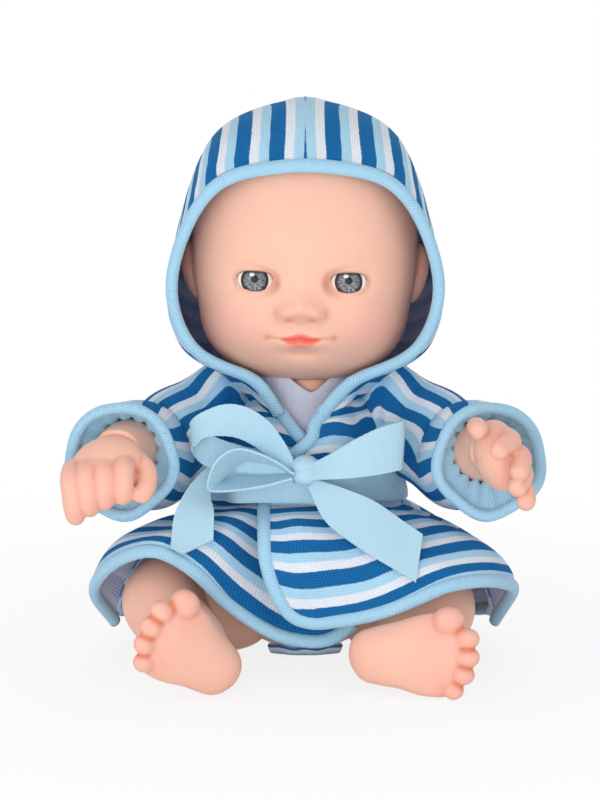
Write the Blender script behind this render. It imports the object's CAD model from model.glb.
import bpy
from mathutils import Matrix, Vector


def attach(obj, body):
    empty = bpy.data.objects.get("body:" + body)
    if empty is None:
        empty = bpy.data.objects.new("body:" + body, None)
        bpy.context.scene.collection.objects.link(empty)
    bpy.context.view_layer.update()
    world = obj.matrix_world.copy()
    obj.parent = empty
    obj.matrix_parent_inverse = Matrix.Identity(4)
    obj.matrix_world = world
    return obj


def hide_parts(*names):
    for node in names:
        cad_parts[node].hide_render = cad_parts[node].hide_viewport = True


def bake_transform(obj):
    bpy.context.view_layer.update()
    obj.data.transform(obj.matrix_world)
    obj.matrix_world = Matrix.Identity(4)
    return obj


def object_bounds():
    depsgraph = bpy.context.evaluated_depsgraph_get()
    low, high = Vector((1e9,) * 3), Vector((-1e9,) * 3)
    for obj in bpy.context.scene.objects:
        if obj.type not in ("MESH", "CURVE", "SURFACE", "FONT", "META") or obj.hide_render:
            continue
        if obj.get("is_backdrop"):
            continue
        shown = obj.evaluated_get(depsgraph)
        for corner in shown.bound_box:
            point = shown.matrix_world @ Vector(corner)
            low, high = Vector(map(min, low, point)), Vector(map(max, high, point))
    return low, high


bl_info = {
    "name": "Seated doll in a striped robe",
    "version": (1, 0, 0),
    "blender": (4, 5, 0),
    "location": "3D View > Sidebar > Doll",
    "description": "Dresses the doll's frame: vinyl skin, glass eyes, towelling robe, rolled bindings and "
                   "ribbon bow",
    "category": "Object",
}

import bpy
import numpy as np
from bpy.props import FloatProperty, FloatVectorProperty, PointerProperty
from mathutils import Vector

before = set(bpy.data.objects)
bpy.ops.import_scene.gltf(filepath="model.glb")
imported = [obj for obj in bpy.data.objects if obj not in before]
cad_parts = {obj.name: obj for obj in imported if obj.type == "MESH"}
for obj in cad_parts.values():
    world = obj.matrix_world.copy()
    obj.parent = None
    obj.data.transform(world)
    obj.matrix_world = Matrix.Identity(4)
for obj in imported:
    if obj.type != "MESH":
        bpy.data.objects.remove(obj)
CAD_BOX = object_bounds()
MM = 0.001

# Sizes of the frame in millimetres, the same as in the part's own source
HEAD_W, HEAD_H, HEAD_D = 61.0, 73.0, 63.0
EYE_SPACING, EYE_R = 24.6, 6.0
TORSO_W, TORSO_D, TORSO_H = 51.0, 40.0, 71.0
THIGH_R, ARM_R, FOOT_L = 13.5, 9.0, 34.0
ARM_STEM_R, HIP_STEM_R = 3.8, 6.0
CLOTH_T, CLOTH_GAP, BINDING_D, CUFF_R = 0.9, 0.4, 3.6, 14.0
RIBBON_W, RIBBON_T, LAP_GAP, JOINT_GAP = 13.0, 0.6, 1.7, 0.35
NECK = np.array([0, 1.6, TORSO_H])
HEAD = np.array([0, 0.8, TORSO_H + 3.5 + HEAD_H / 2])
SHOULDER = np.array([TORSO_W * 0.362, 1, TORSO_H * 0.852])
SHOULDER_AXIS = np.array([0.94, -0.1, 0.3]) / np.linalg.norm([0.94, -0.1, 0.3])
HIP = np.array([TORSO_W * 0.33, -TORSO_D * 0.17, THIGH_R + 3.25])
HIP_AXIS = np.array([0.75, -0.47, -0.47]) / np.linalg.norm([0.75, -0.47, -0.47])
# Power of the head's superellipsoid
HEAD_POWER = 2.3
# Sizes of the looks alone: how far a binding's middle lies past the cloth's edge, thickness of facing and
# linings, how far a stem reaches into its limb, width that an eye's map covers, width of the floor
BINDING_R = BINDING_D / 2
EDGE_OFF = BINDING_R - 0.2
LINING_T, STEM_L, EYE_MAP, FLOOR_W = 0.5, 4.0, 12.0, 24000.0
# Edges of a sheet that turn by more than this many degrees are shaded hard
SHARP_ANGLE = 35
SIDES = (("left", 1), ("right", -1))


# Arithmetic on whole arrays; angles are in degrees
def sin(a):
    return np.sin(np.radians(a))


def cos(a):
    return np.cos(np.radians(a))


def mix(a, b, t):
    """Straight from a at t = 0 to b at t = 1."""
    return a + (b - a) * t


def smooth(t):
    """Smooth step: 3 c^2 - 2 c^3 of t cut to 0 .. 1."""
    c = np.clip(t, 0, 1)
    return c * c * (3 - 2 * c)


def bump(x, width):
    """Bell: e to the power of minus the square of x over its width."""
    return np.exp(-((x / width) ** 2))


def ripple(a):
    """Sine from 0 to 1."""
    return 0.5 + 0.5 * sin(a)


def circle(n):
    """Angles of n points round a circle."""
    return 360 * np.arange(n) / n


def mirrored(side):
    """Factors of X, Y and Z for the left side, 1, or the right side, -1."""
    return np.array([side, 1, 1])


def vec(*parts):
    """Points from arrays of their coordinates."""
    return np.stack(np.broadcast_arrays(*parts), -1).astype(float)


def unit(v):
    """Vectors at a length of 1."""
    return v / np.maximum(np.linalg.norm(v, axis=-1, keepdims=True), 1e-9)


def turned(v, axis, angle):
    """v turned about a unit axis: v cos + (axis x v) sin + axis (axis . v) (1 - cos)."""
    return v * cos(angle) + np.cross(axis, v) * sin(angle) + axis * (v @ axis)[..., None] * (1 - cos(angle))


def euler(v, rx, ry, rz):
    """v turned about X, then Y, then Z."""
    for axis, angle in zip(np.eye(3), (rx, ry, rz)):
        v = turned(v, axis, angle)
    return v


def through(pick, count, q):
    """Catmull-Rom curve with straight ends, at q = 0 .. count - 1, through the points that pick gives."""
    i = np.clip(np.floor(q).astype(int), 0, count - 2)
    t = (q - i)[..., None]
    p1, p2 = pick(i), pick(i + 1)
    p0 = np.where((i > 0)[..., None], pick(np.maximum(i - 1, 0)), 2 * p1 - p2)
    p3 = np.where((i + 2 < count)[..., None], pick(np.minimum(i + 2, count - 1)), 2 * p2 - p1)
    return 0.5 * (2 * p1 + (p2 - p0) * t + (2 * p0 - 5 * p1 + 4 * p2 - p3) * t**2
                  + (3 * p1 - p0 - 3 * p2 + p3) * t**3)


def curve(points, s):
    """Curve through the points at s = 0 .. 1."""
    pts = np.asarray(points, float)
    return through(lambda i: pts[i], len(pts), np.asarray(s, float) * (len(pts) - 1))


def mesh_grid(nu, nv, wrap=False):
    """u along the columns and v along the rows of a grid; a wrapped grid has no last column."""
    u = np.arange(nu) / nu if wrap else np.linspace(0, 1, nu + 1)
    return np.meshgrid(u, np.linspace(0, 1, nv + 1))


def normals(p, wrap=False):
    """Unit normal of a grid of points: the cross product of its differences along u and v."""
    du = np.roll(p, -1, 1) - np.roll(p, 1, 1) if wrap else np.gradient(p, axis=1)
    return unit(np.cross(du, np.gradient(p, axis=0)))


def outward(p, inside, wrap=False):
    """Unit normals of a grid, turned away from what is inside it."""
    n = normals(p, wrap)
    return n * np.sign(np.sum(n * (p - inside)))


def wrapped(p):
    """A wrapped grid with its first column again at its end."""
    return np.concatenate([p, p[:, :1]], 1)


def lengths(p, axis):
    """Running length of a grid's lines along one axis."""
    steps = np.linalg.norm(np.diff(p, axis=axis), axis=-1)
    return np.insert(np.cumsum(steps, axis=axis), 0, 0, axis=axis)


class Form:
    """Collects grids of points as one mesh, in millimetres, with UV in metres and marks for the finish."""

    def __init__(self):
        self.points, self.faces, self.uv, self.marks, self.count = [], [], [], {}, 0

    def add(self, points, faces, uv, **marks):
        for name, values in marks.items():
            self.marks.setdefault(name, []).append((self.count, np.broadcast_to(values, len(points))))
        self.faces += [f + self.count for f in faces]
        self.uv += uv
        self.points.append(points)
        self.count += len(points)

    def grid(self, p, uv=None, wrap=False, flip=False, fan=(False, False), loop=False, **marks):
        """Quads over a grid of points, and a fan of triangles over its first or last row where asked.
        A wrapped grid closes round its rows, and a looped one from its last row to its first."""
        rows, cols = p.shape[:2]
        if uv is None:
            uv = np.zeros((rows, cols + wrap, 2))
        j, i = np.meshgrid(np.arange(rows - 1 + loop), np.arange(cols - 1 + wrap), indexing="ij")
        corners = ((0, 0), (0, 1), (1, 1), (1, 0))
        quads = np.stack([(j + a) % rows * cols + (i + b) % cols for a, b in corners], -1).reshape(-1, 4)
        at = np.stack([(j + a) * (cols + wrap) + i + b for a, b in corners], -1).reshape(-1, 4)
        points, flat = p.reshape(-1, 3), uv.reshape(-1, 2)
        faces, maps = [quads], [flat[at]]
        values = {n: np.broadcast_to(m, (rows, cols)).reshape(-1) for n, m in marks.items()}
        for row, asked, way in ((0, fan[0], 1), (rows - 1, fan[1], -1)):
            if asked:
                k = np.arange(cols)
                ring = np.stack([np.full(cols, len(points)), row * cols + (k + 1) % cols, row * cols + k], -1)
                faces.append(ring[:, ::way])
                maps.append(np.zeros((cols, 3, 2)) + flat[row * (cols + wrap)])
                points = np.vstack([points, p[row].mean(0)])
                values = {n: np.append(m, m[row * cols:(row + 1) * cols].mean()) for n, m in values.items()}
        if flip:
            faces, maps = [f[:, ::-1] for f in faces], [m[:, ::-1] for m in maps]
        self.add(points, faces, maps, **values)

    def skin(self, p, uv=None, flip=False, **marks):
        """A wrapped grid that is closed at both ends."""
        self.grid(p, uv, True, flip, (True, True), **marks)

    def shell(self, p, thick, uv, inside, wrap=False, mirror=False):
        """Cloth: the sheet moved half its thickness each way along its normal, joined by rims; its inside is
        marked as lining."""
        n = normals(p, wrap)
        out = np.sign(np.sum(n * (p - inside))) or 1.0
        flip = (out < 0) != mirror
        base = self.count
        for way in (1, -1):
            face = p + n * out * (way * thick / 2)
            self.grid(face * [-1 if mirror else 1, 1, 1], uv, wrap, flip != (way < 0), lining=float(way < 0))
        rows, cols = p.shape[:2]
        wide, deep, flat = cols + wrap, rows * cols, uv.reshape(-1, 2)
        k = np.arange(cols - 1 + wrap)
        rims = [((0 * k + row, k), (0 * k + row, k + 1), way) for row, way in ((0, 1), (rows - 1, -1))]
        if not wrap:
            k = np.arange(rows - 1)
            rims += [((k, 0 * k + col), (k + 1, 0 * k + col), way) for col, way in ((0, -1), (cols - 1, 1))]
        for (ra, ca), (rb, cb), way in rims:
            a, b = ra * cols + ca, rb * cols + cb % cols
            ua, ub = flat[ra * wide + ca], flat[rb * wide + cb]
            order = slice(None, None, -way if flip else way)
            self.faces.append(np.stack([a, a + deep, b + deep, b], -1)[:, order] + base)
            self.uv.append(np.stack([ua, ua, ub, ub], 1)[:, order])

    def build(self, name):
        """Make the object, at the origin, with its place in its mesh."""
        mesh = bpy.data.meshes.new(name)
        points = np.vstack(self.points) * MM
        flat = np.concatenate([f.reshape(-1) for f in self.faces])
        sizes = np.concatenate([np.full(len(f), f.shape[1]) for f in self.faces])
        mesh.vertices.add(len(points))
        mesh.vertices.foreach_set("co", points.astype(np.float32).reshape(-1))
        mesh.loops.add(len(flat))
        mesh.loops.foreach_set("vertex_index", flat.astype(np.int32))
        mesh.polygons.add(len(sizes))
        mesh.polygons.foreach_set("loop_start", np.insert(np.cumsum(sizes)[:-1], 0, 0).astype(np.int32))
        mesh.polygons.foreach_set("use_smooth", np.ones(len(sizes), bool))
        layer = mesh.uv_layers.new(name="UVMap")
        layer.data.foreach_set("uv", np.concatenate([m.reshape(-1) for m in self.uv]).astype(np.float32))
        for key, parts in self.marks.items():
            values = np.zeros(len(points), np.float32)
            for start, part in parts:
                values[start:start + len(part)] = part
            mesh.attributes.new(key, "FLOAT", "POINT").data.foreach_set("value", values)
        mesh.update(calc_edges=True)
        mesh.validate()
        obj = bpy.data.objects.new(name, mesh)
        bpy.context.scene.collection.objects.link(obj)
        return obj


def tube(form, path, radius, facing, closed=False, sides=18, flat=0.86):
    """Rolled binding: an oval carried along a path, its first axis turned to the facing direction."""
    tangent = unit(np.roll(path, -1, 0) - np.roll(path, 1, 0) if closed else np.gradient(path, axis=0))
    e1 = unit(facing - tangent * np.sum(facing * tangent, -1, keepdims=True))
    e2 = np.cross(tangent, e1)
    a = circle(sides)
    rim = e1[:, None] * cos(a)[None, :, None] * flat + e2[:, None] * sin(a)[None, :, None]
    p = path[:, None] + rim * np.broadcast_to(radius, len(path))[:, None, None]
    line = np.concatenate([path, path[:1]]) if closed else path
    along = lengths(line[:, None], 0)[:, 0] * MM
    around = 2 * np.pi * np.mean(radius) * MM * np.arange(sides + 1) / sides
    uv = np.stack(np.broadcast_arrays(along[:, None], around[None]), -1)
    form.grid(p, uv, True, True, (not closed, not closed), closed)


def limb(stations, steps, sides, ref, first=None):
    """Rings square to a curve of stations [x, y, z, half width, half height], from a first axis if given."""
    s = np.linspace(0, 1, steps + 1)
    p = curve(stations, s)
    d = curve(stations, np.minimum(1, s + 0.01)) - curve(stations, np.maximum(0, s - 0.01))
    normal = unit(d[:, :3])
    if first is not None:
        normal = unit(mix(first, normal, smooth((s - 0.08) * 2.6)[:, None]))
    side = unit(np.cross(ref, normal))
    up = np.cross(normal, side)
    a = circle(sides)
    return (p[:, None, :3] + side[:, None] * p[:, 3, None, None] * cos(a)[None, :, None]
            + up[:, None] * p[:, 4, None, None] * sin(a)[None, :, None])


def pebble(radii, centre=(0, 0, 0), rings=16, sides=24):
    """Ellipsoid by latitude and longitude."""
    a = np.linspace(-86, 86, rings)[:, None]
    b = circle(sides)
    return vec(radii[0] * cos(a) * cos(b), radii[1] * cos(a) * sin(b), radii[2] * sin(a)) + np.array(centre)


def finger(points, r):
    """Finger: a limb through four points that keeps its thickness and ends in a round tip."""
    s = np.linspace(0, 1, 15)
    p = curve(points, s)
    thick = r * curve([[0.95], [1.0], [1.0], [0.92]], s)[:, 0]
    thick = thick * np.sqrt(np.clip(1 - (np.clip(s - 0.8, 0, 1) / 0.205) ** 2, 0.01, 1))
    return limb(np.hstack([p, thick[:, None], thick[:, None]]), 28, 16, np.array([0.2, 0.1, 1]))


def fuse(form, side, name, voxel, rounds):
    """Fuse the overlapping lofts of one side's limb into one skin by voxels and relax it; gives the piece,
    its points and how hollow each lies."""
    form.points = [p * mirrored(side) for p in form.points]
    form.faces = [f[:, ::side] for f in form.faces]
    obj = form.build(name)
    remesh = obj.modifiers.new("fuse", "REMESH")
    remesh.mode, remesh.voxel_size = "VOXEL", voxel * MM
    graph = bpy.context.evaluated_depsgraph_get()
    mesh, old = bpy.data.meshes.new_from_object(obj.evaluated_get(graph)), obj.data
    obj.modifiers.clear()
    obj.data = mesh
    bpy.data.meshes.remove(old)
    mesh.name = name
    co, edges = np.zeros(len(mesh.vertices) * 3), np.zeros(len(mesh.edges) * 2, int)
    mesh.vertices.foreach_get("co", co)
    mesh.edges.foreach_get("vertices", edges)
    co, edges = co.reshape(-1, 3), edges.reshape(-1, 2)
    a, b = np.concatenate([edges, edges[:, ::-1]]).T
    degree = np.maximum(np.bincount(a, minlength=len(co)), 1)

    def relaxed(values, rounds, share):
        """Values moved by a share towards the mean of their neighbours, a number of times."""
        for _ in range(rounds):
            means = [np.bincount(a, values[b, k], len(co)) / degree for k in range(values.shape[1])]
            values = values + share * (np.stack(means, -1) - values)
        return values

    co = relaxed(co, rounds, 0.55)
    mesh.vertices.foreach_set("co", co.reshape(-1))
    mesh.update()
    n = np.zeros(len(co) * 3)
    mesh.vertices.foreach_get("normal", n)
    full_hollow = 0.16 * MM
    hollow = np.sum((relaxed(co, 6, 0.6) - co) * n.reshape(-1, 3), -1) / full_hollow
    hollow = relaxed(hollow[:, None], 4, 0.5)[:, 0]
    mesh.polygons.foreach_set("use_smooth", np.ones(len(mesh.polygons), bool))
    return obj, co / MM, np.clip(hollow, 0, 1)


def mark(obj, **marks):
    """Write marks for the finish on a mesh, one value for each point."""
    for key, values in marks.items():
        layer = obj.data.attributes.get(key) or obj.data.attributes.new(key, "FLOAT", "POINT")
        layer.data.foreach_set("value", np.broadcast_to(values, len(obj.data.vertices)).astype(np.float32))


# Head
def at_head(p):
    """Points of the head turned about Y and Z, the way it looks, and put in their place."""
    return euler(p, 0, 0.9, -1.8) + HEAD


def jaw_share(d):
    """Widening of the head at the jaw: a smooth step of how far a direction points down."""
    return 1 + 0.19 * smooth((-d[..., 2] - 0.4) / 0.55)


def on_head(d, size):
    """Point of a superellipsoid with these half axes, along a direction."""
    return d / (np.sum((np.abs(d) / size) ** HEAD_POWER, -1) ** (1 / HEAD_POWER))[..., None]


EYE_UP = -HEAD_H * 0.085
EYE = np.array([EYE_SPACING / 2, -HEAD_D / 2 + EYE_R + 2.7, EYE_UP])
MOUTH_UP = -HEAD_H * 0.3


def mouth_line(x):
    """Height of the line between the lips: a bell up in the middle and one down each side, on a parabola."""
    return MOUTH_UP + 0.35 * bump(x, 1.3) - 0.35 * bump(np.abs(x) - 2.6, 2) + 0.005 * x**2


def face_lift(x, z):
    """Height of the face over the plain head: nose, eye sockets, brow, cheeks, lips and chin, each a bell."""
    ax, ez = np.abs(x), z - EYE_UP
    tip = z + 13.4
    nose = 3.9 * bump(x, 4.0) * np.where(tip > 0, bump(tip, 4.0), bump(tip, 3.0))
    wings = 2.1 * bump(ax - 4.4, 2.1) * bump(z + 14.4, 2.2)
    nostril = -0.6 * bump(ax - 2.9, 1.2) * bump(z + 16.3, 0.8)
    bridge = 0.6 * bump(x, 4.2) * bump(z + 8, 6)
    socket = -0.7 * bump(ax - EYE_SPACING / 2, 6) * bump(ez, 4)
    brow = 0.8 * bump(x, 20) * bump(z - 2, 6)
    cheek = 1.9 * bump(ax - 17, 8) * bump(z + 19, 8)
    line = z - mouth_line(x)
    muzzle = 2.0 * bump(x, 8) * bump(z + 22, 5.2)
    lips = 0.75 * bump(line - 1.0, 0.85) * bump(x, 4.6) + 1.1 * bump(line + 1.25, 1.0) * bump(x, 4)
    fold = -(0.35 + 0.6 * smooth((6.2 - ax) / 1.5)) * bump(line, 0.45) * smooth((9 - ax) / 1.5)
    fold = fold - 0.45 * bump(ax - 8.9, 1.1) * bump(line + 0.1, 1.2)
    philtrum = -0.45 * bump(x, 1.1) * bump(z + 18.4, 1.6)
    under = -1.0 * bump(x, 5) * bump(z + 25.8, 1.25)
    chin = 1.7 * bump(x, 6.2) * bump(z + 30.6, 3.6)
    return (nose + wings + nostril + bridge + socket + brow + cheek + muzzle + lips + fold + philtrum + under
            + chin)


def eye_ball(r2):
    """Depth of the front of an eye at a squared distance from its middle: a slightly flattened ball."""
    return EYE[1] - EYE_R * (1 - np.minimum(r2 / EYE_R**2, 0.97)) ** 0.33


def head_skin(form, rings=246, columns=380):
    """Head: directions by angle from the face's axis and angle round it; eye openings are drawn by moving the
    nearest points to the lid's outline and sinking what lies inside it behind the eye."""
    a = mix(1.0, 179.0, np.linspace(0, 1, rings)[:, None] ** 1.2)
    f = circle(columns)
    d = vec(sin(a) * sin(f), -cos(a) + 0 * f, sin(a) * cos(f))
    w = HEAD_W / 2 * jaw_share(d)
    p = on_head(d, vec(w, HEAD_D / 2, HEAD_H / 2))
    x, y, z = p[..., 0].copy(), p[..., 1].copy(), p[..., 2].copy()
    side = np.where(x < 0, -1.0, 1.0)
    ex, ez = np.abs(x) - EYE[0], z - EYE_UP
    tilt = 0.03 * ex
    upper = ez > tilt
    tall, power = np.where(upper, 2.5, 3.0), np.where(upper, 2.6, 2.0)
    rho = (np.abs(ex / 4.65) ** power + np.abs((ez - tilt) / tall) ** power) ** (1 / power)
    span = np.hypot(ex, ez)
    gap = span * (1 - 1 / np.maximum(rho, 1e-3))
    near = (y < 0) & (np.abs(gap) < 0.2)
    pull = np.where(near, 1 / np.maximum(rho, 1e-3), 1)
    ex, ez = ex * pull, ez * pull
    gap = np.where(near, 0, gap)
    front = y < -4
    x = np.where(front, side * (ex + EYE[0]), x)
    z = np.where(front, ez + EYE_UP, z)
    inner = np.clip(1 - (np.abs(x) / w) ** HEAD_POWER - (np.abs(z) / (HEAD_H / 2)) ** HEAD_POWER, 1e-6, 1)
    y = np.where(near, -HEAD_D / 2 * inner ** (1 / HEAD_POWER), y)
    y = y - face_lift(x, z) * smooth(-y / 12)
    ball = eye_ball(ex**2 + ez**2)
    out = np.maximum(gap, 0)
    by_eye = front & (span < 14)
    hug = bump(out, 1.25)
    lid = mix(y, ball - 0.6, hug) - 0.08 * bump(out - 0.55, 0.5)
    y = np.where(by_eye, np.where(gap < -1e-6, ball + 0.9, lid), y)
    line = z - mouth_line(x)
    ax = np.abs(x)
    up_h = 2.0 * np.clip(1 - (x / 5.3) ** 2, 0, 1) ** 0.8 - 0.4 * bump(x, 0.9)
    low_h = 2.3 * np.clip(1 - (x / 4.9) ** 2, 0, 1) ** 0.7
    face = smooth(-y / 6)
    upper_lip = smooth((line + 0.15) / 0.3) * smooth((up_h - line) / 0.5 + 0.4) * (up_h > 0.05)
    lower_lip = smooth((-line + 0.15) / 0.3) * smooth((low_h + line) / 1.3 + 0.2) * (low_h > 0.05)
    lip = np.clip(upper_lip + 0.72 * lower_lip, 0, 1) * face
    crease = (0.3 + 0.45 * smooth((5.6 - ax) / 1)) * bump(line, 0.38) * smooth((9.2 - ax) / 1.2)
    crease = crease + 0.6 * bump(ax - 8.9, 0.8) * bump(line, 0.9) + 0.2 * bump(x, 4) * bump(z + 25.8, 1.1)
    crease = (crease + 0.6 * bump(ax - 2.9, 1.3) * bump(z + 16.3, 0.7)
              + 0.35 * bump(ax - 6.6, 0.7) * bump(z + 14.6, 1.6))
    corner = bump(ex + 5.6, 1.5) * bump(ez + 0.6, 1.8) + 0.4 * bump(ex - 5.2, 0.9) * bump(ez, 1)
    crease = crease + np.where(by_eye, 0.2 * bump(out, 0.5) + 0.4 * corner, 0)
    lash = np.where(by_eye, bump(out, 0.3) * smooth((ez + 0.4) / 1.6), 0)
    blush = 0.26 * bump(ax - 20, 8) * bump(z + 20, 7.5) + 0.15 * bump(x, 5) * bump(z + 14, 3.5) + 0.06
    form.skin(at_head(vec(x, y, z)), lip=lip, crease=np.clip(crease, 0, 1) * face, blush=blush * face,
              lash=lash)


def ear(form, side):
    """Ear: an ellipsoid whose outer face is hollowed to a bowl with a raised rim."""
    b = np.linspace(2, 178, 44)[:, None]
    f = circle(56)
    share = sin(b) + 0 * f
    outer = smooth((cos(b) + 0.05) / 0.3)
    bowl = -2.7 * bump(share - 0.15 * cos(f + 20), 0.62) + 0.7 * bump(share - 0.82, 0.13)
    ridge = 0.9 * bump(share - 0.5, 0.13) * smooth((0.4 - cos(f)) / 0.8)
    p = vec(2.9 * cos(b) + outer * (bowl + ridge), 4.9 * share * cos(f),
            8.3 * share * sin(f) * (1 - 0.12 * sin(f)))
    p = euler(p, -10, 12, 24) + np.array([HEAD_W / 2 - 0.4, 5, -HEAD_H * 0.09])
    form.skin(at_head(p * mirrored(side)), None, side > 0, blush=0.35 + 0 * share,
              crease=np.clip(0.55 * outer * bump(share, 0.45), 0, 1) + 0 * f, lip=0 * share)


def neck(form):
    """Neck: a ring with a waist and one soft fold, turned about the neck's axis."""
    z = np.linspace(0, 1, 26)[:, None]
    f = circle(64)
    r = 10.2 - 0.5 * sin(180 * z) - 0.4 * bump(z - 0.35, 0.06) + 0 * f
    form.skin(vec(r * cos(f), r * sin(f), JOINT_GAP + 12.5 * z) + NECK,
              crease=0.5 * bump(z - 0.35, 0.06) + 0 * f, blush=0.2 + 0 * r, lip=0 * r)


def eye(form, side):
    """Eyeball: rings round the view axis, flattened at the front; UV is the front view."""
    b = np.linspace(1.2, 178.8, 60)[:, None]
    f = circle(72)
    x, z = EYE_R * sin(b) * cos(f), EYE_R * sin(b) * sin(f)
    y = (-EYE_R * np.sign(cos(b)) * np.abs(cos(b)) ** 0.66
         - 0.2 * bump(EYE_R * sin(b), 2.9) * (cos(b) > 0) + 0 * f)
    form.skin(at_head(vec(x, y, z) + EYE * mirrored(side)), wrapped(np.stack([x, z], -1) / EYE_MAP + 0.5))


# Arms and legs
def snap_flange(form, place, axis, r, root):
    """Stem and flange that snap a limb into the torso: a stepped profile turned about the joint's axis."""
    profile = np.array([[r, root], [r, -2.55], [r + 1.3, -2.55], [r + 1.3, -3.15], [r - 1, -5.15]])
    side = unit(np.cross(axis, np.array([0.1, 0.9, 0.2])))
    up = np.cross(axis, side)
    a = circle(40)
    ring = side * cos(a)[:, None] + up * sin(a)[:, None]
    form.skin(place + ring[None] * profile[:, 0, None, None] + axis * profile[:, 1, None, None], flip=True)


ARM_ROOT = SHOULDER + SHOULDER_AXIS * JOINT_GAP
ARM_LINE = np.array([[*(ARM_ROOT + np.array(p)), a * ARM_R, b * ARM_R] for p, a, b in (
    ((0, 0, 0), 1, 1), (SHOULDER_AXIS * 6, 1.04, 1), ((13, -5, -0.5), 1.06, 1), ((22, -13, -4), 0.98, 0.95),
    ((28, -25, -1.5), 0.95, 0.92), ((30, -33, 0), 0.74, 0.7), ((30.6, -38, 0.5), 0.72, 0.66))])
HAND = ARM_ROOT + np.array([30.6, -42, 0.4])

# Fingers of the fist and of the open hand, from their knuckles to their tips
FIST = [([-3, -2, -1], [-2.6, -7.5, -10.5]), ([2, -2, -1.6], [2, -7.5, -12]),
        ([7, -2, -2.2], [5.6, -7.5, -14]), ([11, -1.5, -3], [9.4, -7, -16.5])]
PALM = [([2.3, -5, 6.2], [-1, -18, 3.2]), ([5, -5, 2], [4, -18, -2.2]),
        ([5.6, -5, -2.3], [3.8, -16.5, -6.6]), ([5.6, -4, -6.2], [6, -14.5, -10.6])]


def arm(fist):
    """Arm along its stations, with a closed hand or an open one made of a palm and five fingers."""
    form = Form()
    form.skin(limb(ARM_LINE, 48, 40, np.array([0.1, 0.15, 1]), SHOULDER_AXIS))
    if fist:
        parts = [euler(pebble((9.8, 9, 7.2)), 14, 12, 0) + np.array([1.8, 0, -2.6]),
                 euler(pebble((9.6, 5.8, 6.8)), 0, 20, 0) + np.array([3.4, -5.6, -6])]
        for a, b in np.array(FIST, float):
            parts.append(finger([a, mix(a, b, 0.12) - [0, 7, 0], mix(a, b, 0.6) - [0, 5.4, 0], b], 2.75))
        parts.append(finger([[-6, 1, -1], [-8.6, -4, -3.6], [-8.4, -8.4, -7], [-6, -10.6, -9.8]], 2.6))
    else:
        parts = [euler(pebble((6.2, 9.4, 9.6)), 0, -14, 0) + np.array([0.6, 0, 0])]
        for a, b in np.array(PALM, float):
            parts.append(finger([a, a + [0.8, -6, -0.4], b + [1, 2.6, 1.7], b], 2.6))
        parts.append(finger([[-3, 0, 5], [-5.2, -4, 8], [-5.4, -8, 8.8], [-4.6, -12, 7.8]], 2.6))
    for p in parts:
        form.skin(p + HAND)
    snap_flange(form, SHOULDER, SHOULDER_AXIS, ARM_STEM_R, JOINT_GAP + STEM_L)
    return form


# Legs as the doll sits: knee, ankle and heel of each, the way its toes point and the way its sole faces
LEGS = {"left": [[34, -27, 16.5], [21, -47.5, 10], [11, -54, 9.5], [0.96, -0.26, 0.13], [-0.27, -0.96, 0.02]],
        "right": [[37.5, -27, 18.5], [26, -50.5, 9.5], [17, -55, 3], [0.64, -0.44, 0.63],
                  [-0.44, -0.88, -0.16]]}
# Foot along -Y from the heel, sole on z = 0; y is a share of its length. Then the toes, from the big one
SOLE = [[0, -0.03, 5, 0.5, 0.4], [0, -0.015, 5.05, 2.9, 2.4], [0, 0.02, 5.3, 5.1, 4.2],
        [0.1, 0.08, 5.7, 6.7, 5.4], [0.3, 0.18, 6, 7.7, 6], [0.5, 0.35, 6, 8.9, 5.9],
        [0.8, 0.53, 5.2, 10.6, 5.2], [0.8, 0.69, 4.4, 11, 4.2], [0.8, 0.8, 3.9, 9.4, 3.2],
        [1.2, 0.87, 3.6, 6, 2.2]]
TOES = [[-8.4, 0.79, 3.6, 3.6], [-3.3, 0.92, 3.2, 2.8], [1.5, 0.91, 3, 2.7], [6, 0.86, 2.9, 2.6],
        [9.9, 0.77, 2.8, 2.4]]


def aimed(p, heel, toes, sole):
    """Points of a foot turned so that its toes and its sole face the given ways."""
    y = -unit(np.array(toes))
    x = unit(np.cross(y, -np.array(sole)))
    return p @ np.stack([x, y, np.cross(x, y)]) + np.array(heel)


def leg(knee, ankle, *place):
    """Leg along its stations from the hip, with a foot and toes."""
    knee, ankle, root, out = np.array(knee), np.array(ankle), HIP + HIP_AXIS * 8, np.array([1, 0, 0])
    line = ((HIP + HIP_AXIS * JOINT_GAP, 1), (root, 1), (mix(root, knee, 0.5) + out, 0.97), (knee, 0.86),
            (mix(knee, ankle, 0.4) + 1.5 * out, 0.74), (mix(knee, ankle, 0.75), 0.64), (ankle, 0.52))
    line = np.array([[*p, share * THIGH_R, share * THIGH_R] for p, share in line])
    parts = [limb(line, 56, 48, np.array([0, 0.1, 1]), HIP_AXIS)]
    sole = limb(np.array(SOLE) * [1, -FOOT_L, 1, 1, 1], 44, 44, np.array([0.02, 0, 1]))
    parts.append(aimed(sole, *place))
    for x, y, z, r in TOES:
        parts.append(aimed(pebble((r, r * 1.15, r), (x, -y * FOOT_L, z)), *place))
    form = Form()
    for p in parts:
        form.skin(p)
    snap_flange(form, HIP, HIP_AXIS, HIP_STEM_R, JOINT_GAP + STEM_L)
    return form


# Torso outline that the robe follows: [height share, half width share, half depth share, y shift share]
TORSO_LINE = curve([[0, 0.62, 0.6, 0.06], [0.04, 0.82, 0.8, 0.05], [0.12, 0.96, 0.95, 0.03],
                    [0.26, 1, 1, -0.02], [0.45, 0.97, 1, -0.04], [0.66, 0.9, 0.88, 0], [0.8, 0.86, 0.8, 0.04],
                    [0.9, 0.76, 0.72, 0.06], [0.97, 0.56, 0.6, 0.08], [1, 0.47, 0.56, 0.1]],
                   np.linspace(0, 1, 37))
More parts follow.
